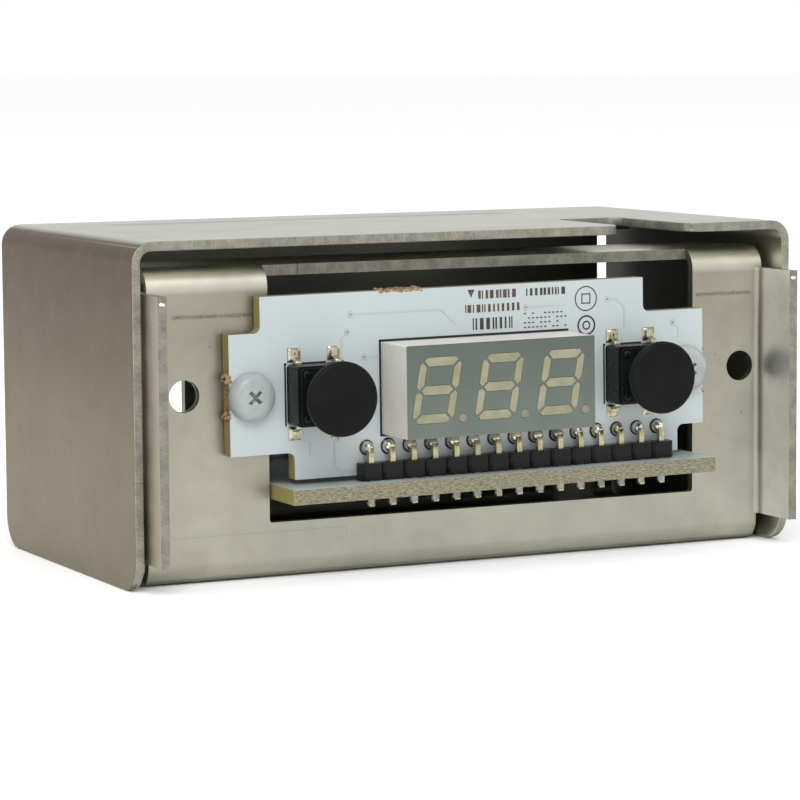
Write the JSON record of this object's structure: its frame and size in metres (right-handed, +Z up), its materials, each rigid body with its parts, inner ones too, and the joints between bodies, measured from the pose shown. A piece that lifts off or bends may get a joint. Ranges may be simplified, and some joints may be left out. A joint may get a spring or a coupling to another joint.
{
  "type": "led display and button module",
  "caption": "Open-fronted folded steel housing with a circuit board that carries a seven-segment display, round push buttons and a pin header.",
  "frame": {"origin": "centre of the housing's underside, on the plane that it stands on", "axes": "+X to the viewer's right, +Y from the display towards the back, +Z up"},
  "size_m": [0.079, 0.0465, 0.0363],
  "materials": {
    "shell_steel": "mill-finish stainless sheet, finely scratched",
    "chassis_steel": "mill-finish stainless sheet, finely scratched",
    "front_board": "glass-epoxy board with satin white solder mask",
    "connector_board": "glass-epoxy board with satin white solder mask",
    "display_housing": "cream plastic with a printed grey face",
    "display_segments": "diffusing beige resin",
    "header_plastic": "moulded black plastic",
    "header_pins": "square brass pins with a thin gold plating",
    "screw_nylon": "translucent white nylon",
    "nut_nylon": "translucent white nylon",
    "button_caps": "smooth black plastic, faint sheen",
    "button_stems": "brown plastic",
    "switch_bases": "moulded black plastic",
    "switch_covers": "dark grey plate",
    "snap_domes": "bright spring steel",
    "switch_terminals": "tinned brass strip",
    "board_supports": "natural nylon",
    "chip_plastic": "moulded black epoxy",
    "capacitor_cans": "bare aluminium can",
    "socket_plastic": "natural white nylon",
    "socket_pins": "tinned square pins"
  },
  "bodies": {
    "housing": {"outer_shell": "shell_steel", "chassis": "chassis_steel", "front_board": "front_board", "connector_board": "connector_board", "display_housing": "display_housing", "display_segments": "display_segments", "header_block": "header_plastic", "header_pin_01": "header_pins", "header_pin_02": "header_pins", "header_pin_03": "header_pins", "header_pin_04": "header_pins", "header_pin_05": "header_pins", "header_pin_06": "header_pins", "header_pin_07": "header_pins", "header_pin_08": "header_pins", "header_pin_09": "header_pins", "header_pin_10": "header_pins", "header_pin_11": "header_pins", "header_pin_12": "header_pins", "header_pin_13": "header_pins", "header_pin_14": "header_pins", "header_pin_15": "header_pins", "left_screw": "screw_nylon", "left_nut": "nut_nylon", "left_switch_base": "switch_bases", "left_switch_cover": "switch_covers", "left_dome": "snap_domes", "left_terminal_a": "switch_terminals", "left_terminal_b": "switch_terminals", "left_support": "board_supports", "right_screw": "screw_nylon", "right_nut": "nut_nylon", "right_switch_base": "switch_bases", "right_switch_cover": "switch_covers", "right_dome": "snap_domes", "right_terminal_a": "switch_terminals", "right_terminal_b": "switch_terminals", "right_support": "board_supports", "control_chip": "chip_plastic", "regulator": "chip_plastic", "capacitor_1": "capacitor_cans", "capacitor_2": "capacitor_cans", "cable_socket": "socket_plastic", "socket_pin_1": "socket_pins", "socket_pin_2": "socket_pins", "socket_pin_3": "socket_pins", "socket_pin_4": "socket_pins"},
    "left_button": {"left_cap": "button_caps", "left_stem": "button_stems"},
    "right_button": {"right_cap": "button_caps", "right_stem": "button_stems"}
  },
  "joints": [
    {"name": "left_press", "type": "slide", "parent": "housing", "child": "left_button", "axis": [0, 1, 0], "range_m": [0, 0.00025], "stiffness_N_per_m": 6400},
    {"name": "right_press", "type": "slide", "parent": "housing", "child": "right_button", "axis": [0, 1, 0], "range_m": [0, 0.00025], "stiffness_N_per_m": 6400}
  ]
}
